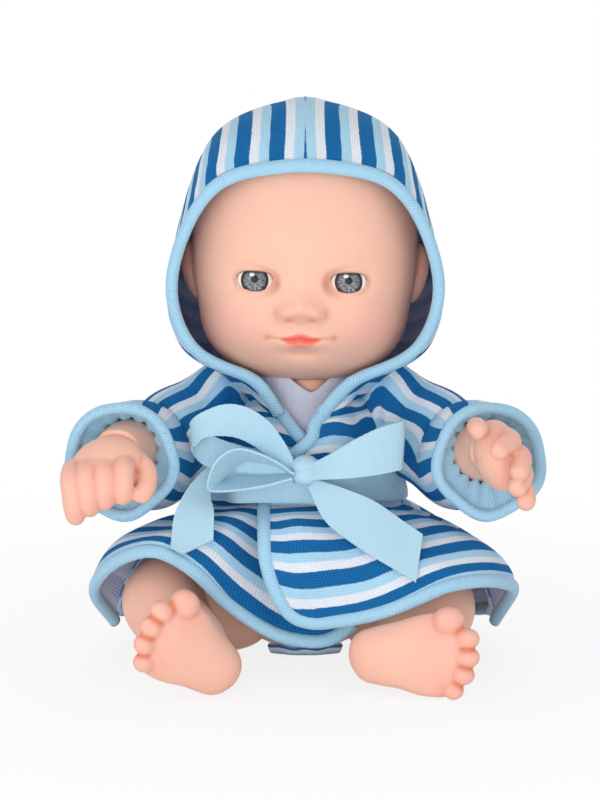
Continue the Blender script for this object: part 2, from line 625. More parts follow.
# Height shares of the robe's top, the hood's corners and the waist; share of a panel that is above the waist
TOP_T, NECK_T, WAIST_T, WAIST_V = 0.985, 0.94, 0.56, 0.45
# Angles of the side seam below the armhole, for the front and the back; how a skirt swells and falls
SIDE_FRONT, SIDE_BACK, SWELL, FALL = 12.4, 11.6, 1.7, 1.35


def torso_share(t, k):
    """One column of the torso's outline at a height share."""
    return np.interp(t, TORSO_LINE[:, 0], TORSO_LINE[:, k])


def torso_point(t, a, grow):
    """Point of the torso at a height share and an angle, grown outwards: an ellipse at each height."""
    return vec((torso_share(t, 1) * TORSO_W / 2 + grow) * cos(a), torso_share(t, 3) * TORSO_D / 2
               + (torso_share(t, 2) * TORSO_D / 2 + grow) * sin(a), t * TORSO_H)


def front_share(a):
    """Square of how far an angle faces the front: 1 there, 0 at the sides and the back."""
    return np.maximum(0, -sin(a)) ** 2


def robe_grow(t, a):
    """Distance of the robe's cloth from the torso: a base, a little more lower down, 3 more at the chest."""
    return (CLOTH_GAP + CLOTH_T / 2 + 1.9 + 0.1 * smooth((0.97 - t) / 0.15)
            + 3 * front_share(a) * smooth((t - 0.62) / 0.2))


SLEEVE_ROOT_R = ARM_R * 1.06 + CLOTH_GAP + 1.8
ARMHOLE_R = SLEEVE_ROOT_R - 0.9


def side_angle(t, way):
    """Angle of the side seam at a height, pushed off by the armhole's circle; the two sides meet below it."""
    dz, wide = t * TORSO_H - SHOULDER[2], torso_share(t, 1) * TORSO_W / 2
    dy = np.sqrt(np.maximum(0, ARMHOLE_R**2 - dz**2)) * smooth((wide - 14.5) / 3.5)
    b, off = torso_share(t, 2) * TORSO_D / 2 + 2.5, SHOULDER[1] - torso_share(t, 3) * TORSO_D / 2
    if way < 0:
        return -np.degrees(np.arcsin(np.clip((dy - off) / b, sin(SIDE_FRONT), 0.9)))
    a = np.degrees(np.arcsin(np.clip((dy + off) / b, -sin(SIDE_BACK), 0.9)))
    return mix(a, -SIDE_BACK, smooth((-dz - ARMHOLE_R) / 4))


def edge_angle(t, side):
    """Angle of a front edge at a height share: the V of the neck, closer on the left, then an overlap."""
    a = np.interp(t, [0.5, 0.62, 0.7, 0.79, 0.86, 0.9, NECK_T, TOP_T],
                  [-112, -108, -103, -95.5, -83, -75, -65.5, -42])
    return a - np.where(side > 0, 13.0, 4.0) * bump(t - NECK_T, 0.055)


def over_lap(side, a):
    """Lift of the left front where it lies over the right one: a smooth step past 50 degrees."""
    return (BINDING_R + CLOTH_T / 2 + LAP_GAP) * smooth((-a - 50) / 22) if side > 0 else 0 * a


def below_waist(v):
    """Share of the way from the waist to the hem."""
    return np.clip((v - WAIST_V) / (1 - WAIST_V), 0, 1)


def skirt(w, h, s, swell=SWELL, fall=FALL):
    """Skirt from the waist to the hem: out by 1 - (1 - s)^swell, down by s^fall."""
    f = 1 - (1 - s) ** swell
    return vec(mix(w[..., 0], h[..., 0], f), mix(w[..., 1], h[..., 1], f), mix(w[..., 2], h[..., 2], s**fall))


# Hems: of the fronts from the side seam to the front edge, of half the back from the side seam to the middle
HEM_LEFT = [[52, -6.2, 9], [56, -22, 22], [50, -39, 29], [37, -48, 29], [24, -49, 25], [12, -47, 20],
            [0, -44, 18], [-9, -43.5, 20]]
HEM_RIGHT = [[52, -6.2, 9], [57, -20, 21], [51, -34, 33], [40, -41, 37], [28, -41, 31.5], [18, -39, 21.5],
             [7, -37, 13], [-4, -36, 12], [-12, -35, 16]]
HEM_BACK = [[52, -5.7, 9], [47, 14, 4.4], [29, 31, 4.2], [0, 37, 4.2]]


def robe_front(side, u, v):
    """Front panel: rows that follow the torso down to the waist, then a skirt over the thigh to the hem."""
    round_off = 1 - np.sqrt(np.clip(1 - (np.maximum(v - 0.72, 0) / 0.28) ** 2, 0, 1))
    uu = u * (1 - 0.18 * round_off) if side > 0 else u
    aw = mix(-SIDE_FRONT, edge_angle(0.6, side), uu)
    under = 0 * uu if side > 0 else smooth((uu - 0.45) / 0.3)
    tw = WAIST_T + 0.06 * front_share(aw) - 0.03 * under
    t = mix(TOP_T, tw, np.minimum(1, v / WAIST_V))
    a = mix(side_angle(t, -1), edge_angle(t, side), uu)
    up = torso_point(t, a, robe_grow(t, a) + over_lap(side, a))
    s = below_waist(v)
    edge = smooth((uu - 0.6) / 0.3)
    h = curve(HEM_LEFT if side > 0 else HEM_RIGHT, uu) + vec(0, 0, 0.6 * sin(1080 * uu))
    if side > 0:
        low = skirt(up, h, s, SWELL, mix(FALL, 1.8, edge)) - vec(0, 4.8 * sin(180 * s**0.62) * edge, 0)
    else:
        low = skirt(up, h, s, mix(SWELL, 1.1, under), mix(FALL, 1.05, under))
        low = low + vec(0, 1.4 * sin(180 * s) * edge, 0)
    return np.where((v <= WAIST_V)[..., None], up, low)


def robe_back(u, v):
    """Back: rows that follow the torso down to the waist, then a skirt that spreads on the floor."""
    w = 2 * u - 1
    s = 1 - np.abs(w)
    way = np.where(w < 0, 1.0, -1.0)
    t = mix(TOP_T, WAIST_T, np.minimum(1, v / WAIST_V))
    a = mix(side_angle(t, 1), 90, s)
    up = torso_point(t, a, robe_grow(t, a)) * vec(way, 1, 1)
    h = (curve(HEM_BACK, s) + vec(0, 0.9 * sin(1440 * u), 0)) * vec(way, 1, 1)
    low = skirt(up, h, below_waist(v))
    return np.where((v <= WAIST_V)[..., None], up, low)


def cloth_uv(p, wrap=False, turn=False, shift=0.0, wave=0.0):
    """UV of a sheet in metres: the mean length along its rows and columns; turn swaps the two."""
    rows, cols = p.shape[:2]
    full = wrapped(p) if wrap else p
    x = np.broadcast_to(lengths(full, 1).mean(0)[None], (rows, cols + wrap))
    y = np.broadcast_to(lengths(p, 0).mean(1)[:, None], (rows, cols + wrap))
    pair = (y, x) if turn else (x, y)
    return np.stack([pair[0], pair[1] + shift + wave], -1) * MM


def sheet_cut(p, wrap=False, least=0.011):
    """Width, length and area of a sheet laid flat, in metres; no side is under the least."""
    full = wrapped(p) if wrap else p
    du, dv = np.diff(full, axis=1)[:-1], np.diff(full, axis=0)[:, :-1]
    area = np.linalg.norm(np.cross(du, dv), axis=-1).sum() * MM**2
    w = max(lengths(full, 1)[:, -1].max() * MM, least)
    h = max(lengths(full, 0)[-1].max() * MM, least)
    return (float(w), float(h)), float(min(max(area, 0.3 * w * h), w * h))


def eased(path, rounds=3):
    """Path with its kinks eased by a running mean that keeps the ends."""
    for _ in range(rounds):
        path = np.concatenate([path[:1], 0.25 * path[:-2] + 0.5 * path[1:-1] + 0.25 * path[2:], path[-1:]])
    return path


def beside(edge, facing, off, rounds=8):
    """Path of a binding beside an edge of cloth: the edge moved square to itself in the cloth's plane."""
    edge, facing = eased(edge, rounds), eased(facing, 16)
    return eased(edge + unit(np.cross(np.gradient(edge, axis=0), facing)) * off, 4)


def front_panel(side):
    """Front panel moved along its normal by sines: folds that fan out below the belt, gathers above it."""
    u, v = mesh_grid(130, 190)
    p = robe_front(side, u, v)
    n = normals(p)
    s = below_waist(v)
    fan = ripple(360 * (3.4 * u + 0.25 * s + (0.1 if side > 0 else 0.4)))
    folds = 1.3 * fan * smooth(s / 0.35) * smooth((0.9 - s) / 0.3) * smooth(u / 0.12) * smooth((1 - u) / 0.15)
    gather = 0.45 * ripple(360 * 9 * u) * bump(v - 0.4, 0.05) * smooth((0.42 - v) / 0.08)
    chest = 0.5 * ripple(360 * (2.2 * v / WAIST_V + 0.7 * u))
    chest = chest * smooth((0.33 - v) / 0.1) * smooth(v / 0.05)
    return p + n * (folds + gather + chest * smooth((1 - u) / 0.2))[..., None], v


def neck_facing(form):
    """Facing of the right front, turned in behind the neckline: a band round the chest, its top a V."""
    u, v = mesh_grid(60, 30)
    a = mix(-20, -160, u)
    top = np.minimum(77, 71.7 + 0.2 * np.sqrt((a + 84) ** 2 + 16))
    rise = mix(top, 0.78 * TORSO_H, v)
    p = torso_point(np.minimum(rise / TORSO_H, TOP_T), a, 1.3 + 0.4 * sin(900 * u) * v)
    p[..., 2] = rise
    uv = cloth_uv(p) * np.array([1, 0.05]) + np.array([0, 0.0072])
    form.shell(p, LINING_T, uv, np.array([0, -90.0, 60]))


# Share of the arm's line at which the sleeve ends
SLEEVE_END = 0.76


def sleeve(u, v):
    """Sleeve: rings round the arm that widen to the cuff and hang below it; below v = 0 it tucks in."""
    s = mix(0.075, SLEEVE_END, v)
    p = curve(ARM_LINE, s)
    d = curve(ARM_LINE, s + 0.02) - curve(ARM_LINE, s - 0.02)
    normal = unit(mix(SHOULDER_AXIS, unit(d[..., :3]), smooth(s * 2.2)[..., None]))
    side = unit(np.cross(np.array([0.1, 0.15, 1]), normal))
    up = np.cross(normal, side)
    r = mix(SLEEVE_ROOT_R, CUFF_R, smooth(v)) * (1 + 1.2 * np.minimum(v, 0)) + 0.35 * sin(360 * 5 * u) * v
    sag = np.maximum(0, r - p[..., 4] - CLOTH_GAP - CLOTH_T - 0.6) * 0.5 * np.maximum(v, 0)
    return (p[..., :3] - vec(0, 0, sag) + side * (r * cos(-360 * u))[..., None]
            + up * (r * sin(-360 * u))[..., None])


def hood(q, v):
    """Hood: ribs from the centre seam over the side of the head to the neck, from the face to the nape."""
    front = smooth(1 - v / 0.3)
    b = mix(52, -104, v) - 5 * front
    lift = 1.6 + 1.4 * bump(v - 0.3, 0.3) + CLOTH_GAP + CLOTH_T / 2
    d = vec(0 * b, -sin(b), cos(b))
    top = on_head(d, vec(0 * b + 1, HEAD_D / 2 + lift, HEAD_H / 2 + lift))
    wide = (HEAD_W / 2 + 6.6) * np.where(v < 0.45, 1 - 0.05 * ((0.45 - v) / 0.45) ** 2,
                                         np.sqrt(np.clip(1 - ((v - 0.45) / 0.55) ** 2, 0, 1)))
    line = curve([[-20, -11], [-2, -8], [17, -7], [30, -10], [33.5, -14]], v)
    mid = np.concatenate([wide[..., None], line], -1)
    mid[..., 2] += 5.5 * front
    na = mix(-52, 90, v)
    low = vec((mix(24, 18.5, v) - 2 * front) * cos(na), NECK[1] - HEAD[1] + mix(21, 17, v) * sin(na),
              TORSO_H + 2.2 + (2.4 + 1.4 * front) * (1 - v) - HEAD[2])
    high = vec(mid[..., 0] * 0.68, mix(top[..., 1], mid[..., 1], 0.4),
               mix(mid[..., 2], top[..., 2], 0.74 + 0.06 * front))
    jaw = vec(mix(mid[..., 0], low[..., 0], 0.4) * (1.06 + 0.11 * front), mix(mid[..., 1], low[..., 1], 0.45),
              mix(mid[..., 2], low[..., 2], 0.55 + 0.13 * front))
    ribs = np.stack([top, high, mid, jaw, low])
    return through(lambda i: np.take_along_axis(ribs, i[None, ..., None], 0)[0], len(ribs), q * 4)


def neckline(way, v):
    """Neck seam of the hood on the robe: up a front edge from below its corner, then round to the nape."""
    t = mix(NECK_T, TOP_T, smooth(v / 0.12))
    a = np.where(v < 0.12, edge_angle(t, way), mix(edge_angle(TOP_T, way), 90, (v - 0.12) / 0.88))
    return torso_point(t, a, robe_grow(t, a) + np.where(way > 0, over_lap(1, a), 0))


def belt(u, v):
    """Belt: a band on the robe round the waist, drawn narrower under the arms."""
    a = 360 * u
    share = front_share(a)
    z = TORSO_H * (0.632 + 0.095 * share) + (v - 0.5) * mix(6.4, RIBBON_W * 0.9, share)
    t = z / TORSO_H
    lap = np.where(a < 200, 0, over_lap(1, a - 360) * smooth((a - 215) / 25)
                   + (BINDING_R - CLOTH_T / 2 + 0.4) * smooth((share - 0.35) / 0.4))
    return torso_point(t, a, robe_grow(t, a) + CLOTH_T / 2 + 0.8 + RIBBON_T / 2 + lap)


KNOT = belt(np.array(0.75), np.array(0.83)) - np.array([0, 4.4, 0])

# Bow, from the knot: points of the ribbon's middle, and its whole width across at each of them
LOOPS = {
    "right": ([[2, -2, 0], [7, -4.5, 2], [12, -5.5, 4], [19, -5, 6], [24.5, -3, 7], [25.5, -0.5, 7],
               [24, 1.5, 6], [17, 2, 3.5], [9, 2, 1], [2, 1, -0.5]],
              [[0, 0, 4.5], [0, 0, 7], [1, 0, 10], [0.5, 0, 12.5], [0, 0, 13], [0, 0, 13], [0, 0, 13],
               [0, 0, 10], [0, 0, 5.5], [0, 0, 3.5]]),
    "front": ([[-3, -1.5, -1], [-7.5, -2, 2], [-12.5, -3, 4], [-17, -3, 4.5], [-20.5, -3, 2.5],
               [-22.5, -3, -1], [-23, -2, -3.5], [-18, -1, -3.5], [-11, -1, -3], [-3.5, -1.5, -1.5]],
              [[0, 3, -1], [0, 6.5, -2.5], [1, 8.5, -4.5], [2, 9.5, -5], [4, 9.5, -3.5], [5, 9.5, -0.5],
               [3.5, 9, 1.5], [0, 8.5, 2], [0, 6.5, 1], [0, 3, 0.5]]),
    "left": ([[-3, -0.5, 1.5], [-6.5, 0, 4.5], [-11, -0.5, 9.5], [-17, -1, 13], [-23.5, -1.5, 13.5],
              [-28, -0.5, 11], [-30, 2, 8.5], [-28, 4.5, 5.5], [-22, 5, 3], [-13, 3.5, 1.5], [-4, 1.5, 0.5]],
             [[-0.5, 0, 3.5], [2, 0, 6], [2.5, 0, 7.5], [3, 0, 8], [4, 0, 8.5], [0, 0, 8], [-0.5, 0, 7],
              [-0.5, 0, 9], [0.5, 0, 8], [0.5, 0, 6], [0, 0, 3]])}
TAILS = {
    "left": ([[-3, 1.5, -2.5], [-12, 6, -1], [-22, 7.5, -1.5], [-27.5, 1, -5], [-29, -5.5, -10],
              [-29.5, -9.5, -17]],
             [[0, 0, 3], [0, 0, 5], [-1.5, 0, 5], [-5, 0, 3], [-10, 0, 1], [-11, 0, 0.5]]),
    "right": ([[2, -1, -3.5], [8, -5, -8.5], [16, -8.6, -12.8], [23.5, -12, -17], [29.5, -14.4, -20.4]],
              [[2.5, 0, 2], [5, 2, 8.5], [4, 6, 11], [3, 7, 11], [2, 7, 11]])}


def ribbon(form, path, across, point=0.0, nu=120, nv=26):
    """Ribbon: a straight line across, carried along a path; its end may be pointed, and its edges waver."""
    u, v = mesh_grid(nu, nv)
    w = v - 0.5
    slant = u * (1 + point * (0.6 - np.abs(w - 0.2)))
    edge = 1 + 0.012 * np.sin(u * 260) * (np.abs(w) > 0.47)
    p = KNOT + curve(path, slant) + curve(across, u) * (w * edge)[..., None]
    p = p + normals(p) * (0.25 * sin(360 * (1.6 * u + 0.5 * v)) * sin(180 * u))[..., None]
    form.shell(p, RIBBON_T, cloth_uv(p), KNOT + np.array([0, 30, 0]))
    return p


# Finishes
def operation(name, swapped=False):
    """Method of a signal that adds a Math node of one operation."""
    def method(self, other):
        return self.math(name, other, self) if swapped else self.math(name, self, other)
    return method


class Signal:
    """An output of a shader node; arithmetic on it adds Math nodes."""

    def __init__(self, finish, socket):
        self.finish, self.socket = finish, socket

    def math(self, kind, *values):
        return self.finish.node("ShaderNodeMath", {"operation": kind}, dict(enumerate(values)))

    __add__ = __radd__ = operation("ADD")
    __sub__, __rsub__ = operation("SUBTRACT"), operation("SUBTRACT", True)
    __mul__ = __rmul__ = operation("MULTIPLY")
    __truediv__, __pow__ = operation("DIVIDE"), operation("POWER")

    def wave(self, pitch):
        """Sine of a length, one turn to a pitch, from 0 to 1."""
        return self.math("SINE", self * (2 * np.pi / pitch)) * 0.5 + 0.5

    def part(self):
        return self.math("FRACT", self)

    def size(self):
        return self.math("ABSOLUTE", self)

    def step(self, low, high):
        """Smooth step from 0 at low to 1 at high."""
        return self.finish.node("ShaderNodeMapRange", {"interpolation_type": "SMOOTHSTEP"},
                                {"Value": self, "From Min": low, "From Max": high})


class Finish:
    """A material in the making: its nodes and the shader that they feed. The world is made alike."""

    def __init__(self, name, world=False):
        self.material = (bpy.data.worlds if world else bpy.data.materials).new(name)
        self.material.use_nodes = True
        self.tree = self.material.node_tree
        self.tree.nodes.clear()
        self.sink = "ShaderNodeOutputWorld" if world else "ShaderNodeOutputMaterial"

    def node(self, kind, settings=None, sockets=None, result=0):
        """Add a node: its settings first, then the values or links of its sockets. Returns one output."""
        node = self.tree.nodes.new(kind)
        for key, value in (settings or {}).items():
            if key == "stops":
                ramp = node.color_ramp.elements
                ramp.remove(ramp[1])
                ramp[0].position, ramp[0].color = value[0]
                for place, colour in value[1:]:
                    ramp.new(place).color = colour
            else:
                setattr(node, key, value)
        for key, value in (sockets or {}).items():
            if isinstance(value, Signal):
                self.tree.links.new(value.socket, node.inputs[key])
            else:
                node.inputs[key].default_value = value
        return Signal(self, node.outputs[result])

    def place(self):
        return self.node("ShaderNodeTexCoord", result=3)

    def uv(self):
        """UV in metres, as the vector and its two lengths."""
        v = self.node("ShaderNodeUVMap", {"uv_map": "UVMap"})
        return v, *(self.node("ShaderNodeSeparateXYZ", None, {0: v}, k) for k in (0, 1))

    def seen(self):
        """1 for a ray from the camera, a mirror or a glass, and 0 for light."""
        camera, glossy, through = (self.node("ShaderNodeLightPath", None, None, k) for k in (0, 3, 6))
        return camera.math("MAXIMUM", camera.math("MAXIMUM", camera, glossy), through)

    def mark(self, name):
        return self.node("ShaderNodeAttribute", {"attribute_name": name}, None, 2)

    def noise(self, vector, scale, detail=3.0, rough=0.55):
        return self.node("ShaderNodeTexNoise", None, {"Vector": vector, "Scale": scale, "Detail": detail,
                                                      "Roughness": rough})

    def blend(self, factor, a, b):
        return self.node("ShaderNodeMix", {"data_type": "RGBA"}, {0: factor, 6: a, 7: b}, 2)

    def bump(self, height, strength, distance):
        return self.node("ShaderNodeBump", None,
                         {"Strength": strength, "Distance": distance, "Height": height})

    def surface(self, base, rough, normal=None, **constants):
        """Principled shader with its varying inputs linked and its constants set; returns the material."""
        sockets = {"Base Color": base, "Roughness": rough}
        if normal is not None:
            sockets["Normal"] = normal
        sockets.update({k.replace("_", " "): c for k, c in constants.items()})
        self.node_out(self.node("ShaderNodeBsdfPrincipled", None, sockets))
        return self.material

    def node_out(self, shader):
        out = self.tree.nodes.new(self.sink)
        self.tree.links.new(shader.socket, out.inputs["Surface"])


def rgba(colour, gain=1.0):
    return (*(float(c) * gain for c in colour), 1.0)


def vinyl_finish(c, _):
    """Soft vinyl: flesh, pinker where marked, orange in creases, coral on the lips, dark at the lashes."""
    f = Finish("soft_vinyl")
    place = f.place()
    cloud, grain = f.noise(place, 130.0), f.noise(place, 2600.0, 2.0)
    blush, lip, crease = f.mark("blush"), f.mark("lip"), f.mark("crease")
    base = f.blend(cloud.step(0.3, 0.75) * 0.35, rgba(c.skin), rgba(c.skin, 0.93))
    base = f.blend(blush * (0.75 + 0.5 * cloud), base, rgba(c.blush))
    base = f.blend(crease, base, rgba(c.crease))
    base = f.blend(lip, base, rgba(c.lips))
    base = f.blend(f.mark("lash") * 0.8, base, (0.07, 0.04, 0.035, 1))
    rough = 0.5 + 0.12 * cloud - 0.14 * lip
    return f.surface(base, rough, f.bump(grain + 0.6 * cloud, 0.12, 0.0002), Subsurface_Weight=0.25,
                     Subsurface_Radius=(1.0, 0.42, 0.26), Subsurface_Scale=0.003, Specular_IOR_Level=0.42)


def eye_finish(c, _):
    """Glass eye: white with a pink rim, a grey iris of streaks with a dark ring, a high pupil and a glint."""
    f = Finish("glass_eye")
    _, u, v = f.uv()
    x, z = (u - 0.5) * EYE_MAP, (v - 0.5) * EYE_MAP
    r = (x * x + z * z) ** 0.5
    pz = z - 0.45
    pr = (x * x + pz * pz) ** 0.5
    near = pr + 0.05
    ray = f.node("ShaderNodeCombineXYZ", None, {0: x / near * 3.2, 1: pz / near * 3.2, 2: pr * 0.5})
    streak = f.noise(ray, 2.4, 2.0, 0.6)
    iris = f.blend(streak.step(0.4, 0.6), rgba(c.iris, 0.24), rgba(c.iris, 0.8))
    iris = f.blend(r.step(2.4, 3.2) * 0.95, iris, (0.035, 0.024, 0.023, 1))
    iris = f.blend(z.step(1.1, 2.3) * 0.8, iris, (0.03, 0.022, 0.022, 1))
    iris = f.blend(1 - pr.step(0.85, 1.15), iris, (0.006, 0.007, 0.008, 1))
    white = f.blend(r.step(3.9, 4.9) * 0.6, (0.82, 0.8, 0.78, 1), (0.75, 0.52, 0.47, 1))
    base = f.blend(1 - r.step(3.55, 3.75), white, iris)
    gx, gz = (x + 0.7) / 0.75, (z - 1.55) / 0.5
    glint = 1 - (gx * gx + gz * gz).step(0.4, 1.2)
    base = f.blend(glint * 0.9, base, (0.85, 0.87, 0.9, 1))
    return f.surface(base, 0.2 + 0.05 * streak, None, Coat_Weight=0.05, Coat_Roughness=0.04,
                     Specular_IOR_Level=0.1)


def towelling_finish(c, s):
    """Knitted towelling: dark, light and white stripes across the cloth, loops in rows, loose fibres."""
    f = Finish("robe_towelling")
    vector, x, y = f.uv()
    blur = f.noise(vector, 900.0, 3.0, 0.6)
    soft = f.noise(vector, 120.0, 2.0)
    phase = (y / s.stripe_period + 0.05 * (blur - 0.5) + 0.06 * (soft - 0.5)).part()
    dark, light, white = rgba(c.dark_stripe), rgba(c.light_stripe), rgba(c.white_stripe)
    base = f.node("ShaderNodeValToRGB", {"stops": [(0.0, dark), (0.42, dark), (0.45, light), (0.7, light),
                                                   (0.74, white), (0.975, white), (1.0, dark)]}, {0: phase})
    rows, wales = y.wave(s.knit_pitch), x.wave(s.knit_pitch * 0.9)
    loop = rows * wales
    gaps = (1 - rows) * (1 - wales)
    base = f.blend(loop * 0.05, base, white)
    base = f.blend(gaps * 0.22 + 0.06 * soft, base, rgba(c.dark_stripe, 0.7))
    base = f.blend(f.mark("lining") * (0.7 + 0.2 * blur), base, rgba(c.lining))
    height = rows * 0.6 + wales * 0.5 + blur * 0.9
    return f.surface(base, 0.88 + 0.08 * blur, f.bump(height, 0.45, 0.00035), Specular_IOR_Level=0.12,
                     Subsurface_Weight=0.5, Subsurface_Radius=(1.0, 1.0, 1.0), Subsurface_Scale=0.0015)


def binding_finish(c, s):
    """Rolled twill binding: slanting ribs round the roll and a row of stitches beside the cloth."""
    f = Finish("twill_binding")
    vector, x, y = f.uv()
    fibre = f.noise(vector, 1500.0, 3.0)
    cloud = f.noise(vector, 160.0, 2.0)
    rib = (x + 0.55 * y + 0.0002 * fibre).wave(s.twill_pitch)
    around = y / (np.pi * s.binding)
    row = 1 - (around - 0.8).size().step(0.012, 0.04)
    stitch_pitch = 0.0023
    along = (x / stitch_pitch).part()
    dash = along.step(0.2, 0.28) * (1 - along.step(0.82, 0.92))
    stitch = row * dash
    base = f.blend(rib * 0.75 + 0.15 * cloud, rgba(c.binding, 0.76), rgba(c.binding))
    base = f.blend(cloud.step(0.35, 0.75) * 0.4, base, rgba(c.binding, 0.9))
    base = f.blend(row * (1 - dash) * 0.25, base, rgba(c.binding, 0.6))
    height = rib * 0.55 + fibre * 0.5 + stitch * 0.6 - row * 0.8
    return f.surface(base, 0.8 + 0.1 * fibre, f.bump(height, 0.5, 0.0003), Sheen_Weight=0.2,
                     Specular_IOR_Level=0.25)


def ribbon_finish(c, s):
    """Ribbon: fine ribs across it, finer threads along it and a slight sheen."""
    f = Finish("ribbed_ribbon")
    vector, x, y = f.uv()
    fibre = f.noise(vector, 1700.0, 2.0)
    cloud = f.noise(vector, 110.0, 2.0)
    rib = (x + 0.00012 * fibre).wave(s.ribbon_rib)
    thread = y.wave(s.ribbon_rib * 0.55)
    base = f.blend(rib * 0.8 + 0.2 * fibre, rgba(c.ribbon, 0.84), rgba(c.ribbon))
    base = f.blend(cloud.step(0.35, 0.7) * 0.3, base, rgba(c.ribbon, 0.93))
    height = rib * 0.7 + thread * 0.25 + fibre * 0.3
    return f.surface(base, 0.62 + 0.14 * fibre, f.bump(height, 0.35, 0.00022), Sheen_Weight=0.15,
                     Specular_IOR_Level=0.3)


def moulded_finish(name, colour, rough, grain, depth=0.1, metal=0.0):
    """Moulded or metal piece: two scales of mottling, scuffed roughness and a fine grain."""
    f = Finish(name)
    place = f.place()
    cloud, fine = f.noise(place, 190.0, 3.0), f.noise(place, grain, 3.0)
    base = f.blend(cloud.step(0.3, 0.7) * 0.5, rgba(colour), rgba(colour, 0.86))
    base = f.blend(fine.step(0.55, 0.8) * 0.25, base, rgba(colour, 1.12))
    return f.surface(base, rough + 0.12 * cloud + 0.06 * fine, f.bump(fine, depth, 0.0001), Metallic=metal)


def shade(code):
    """Linear colour of a six-digit hexadecimal screen colour."""
    v = np.array([int(code[k:k + 2], 16) for k in (1, 3, 5)]) / 255
    return tuple(float(a) for a in np.where(v <= 0.04045, v / 12.92, ((v + 0.055) / 1.055) ** 2.4))


def colour_prop(name, code, about):
    return FloatVectorProperty(name=name, description=about, default=shade(code), size=3, min=0, max=1,
                               subtype="COLOR")


def length_prop(name, value, about):
    return FloatProperty(name=name, description=about, default=value, min=0.0001, max=0.1, precision=5,
                         unit="LENGTH")


class DollColours(bpy.types.PropertyGroup):
    """Colours of the doll's finishes."""

    skin: colour_prop("Skin", "#EFBEA8", "Plain vinyl flesh")
    blush: colour_prop("Blush", "#E99E95", "Flesh of the cheeks, ears and fingertips")
    crease: colour_prop("Crease", "#D97C5A", "Flesh in creases and between toes")
    lips: colour_prop("Lips", "#EC6F62", "Sprayed lips")
    iris: colour_prop("Iris", "#A4AAB2", "Light streaks of the iris")
    dark_stripe: colour_prop("Dark stripe", "#0066A4", "Dark stripe of the towelling")
    light_stripe: colour_prop("Light stripe", "#B0D9F1", "Light blue stripe of the towelling")
    white_stripe: colour_prop("White stripe", "#E8EDF6", "White stripe of the towelling")
    lining: colour_prop("Lining", "#CBD1EA", "Inside of the towelling")
    binding: colour_prop("Binding", "#A9D8F3", "Twill binding")
    ribbon: colour_prop("Ribbon", "#B2D8EA", "Ribbon of the belt and bow")


class DollSizes(bpy.types.PropertyGroup):
    """Pitches and widths of the doll's cloth."""

    stripe_period: length_prop("Stripe repeat", 0.0092, "Width of one dark, light and white stripe together")
    knit_pitch: length_prop("Knit pitch", 0.00066, "Distance between rows of the knit")
    twill_pitch: length_prop("Twill pitch", 0.00082, "Distance between ribs of the binding")
    ribbon_rib: length_prop("Ribbon rib", 0.00068, "Distance between ribs of the ribbon")
    binding: length_prop("Binding width", 0.0036, "Width of the rolled binding")


# Maker of each finish, and the slot of the record that it shows
FINISHES = {"soft_vinyl": (vinyl_finish, "vinyl_skin"), "glass_eye": (eye_finish, "eye_white"),
            "robe_towelling": (towelling_finish, "striped_towelling"),
            "twill_binding": (binding_finish, "blue_binding"), "ribbed_ribbon": (ribbon_finish, "ribbon")}


class PieceOperator(bpy.types.Operator):
    """Base of the operators that make the doll's pieces."""

    bl_options = {"REGISTER", "UNDO"}

    def piece(self, obj, key, *nodes, body=None):
        """Give a piece its finish, made once, its slot, the nodes that it replaces and the body it rides."""
        scene = bpy.context.scene
        maker, slot = FINISHES[key]
        obj.data.materials.clear()
        obj.data.materials.append(bpy.data.materials.get(key) or maker(scene.doll_colours, scene.doll_sizes))
        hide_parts(*nodes)
        if body:
            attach(obj, body)
        return obj

    def sheet(self, obj, p, held, wrap=False, **about):
        """Harden the cut rims of a sheet and declare its flat cut."""
        obj.data.set_sharp_from_angle(angle=np.radians(SHARP_ANGLE))
        flat, area = sheet_cut(p, wrap)


class DOLL_OT_head(PieceOperator):
    """Make the head's vinyl skin with its ears and neck"""

    bl_idname = "doll.head"
    bl_label = "Head skin"

    def execute(self, context):
        form = Form()
        head_skin(form)
        ear(form, 1)
        ear(form, -1)
        neck(form)
        self.piece(form.build("head_skin"), "soft_vinyl", "head_shell", body="head")
        return {"FINISHED"}


class DOLL_OT_eyes(PieceOperator):
    """Make the two glass eyes with their irises"""

    bl_idname = "doll.eyes"
    bl_label = "Eyes"

    def execute(self, context):
        for name, side in SIDES:
            form = Form()
            eye(form, side)
            self.piece(form.build("eyeball_" + name), "glass_eye", "eye_" + name, "iris_" + name, body="head")
        return {"FINISHED"}


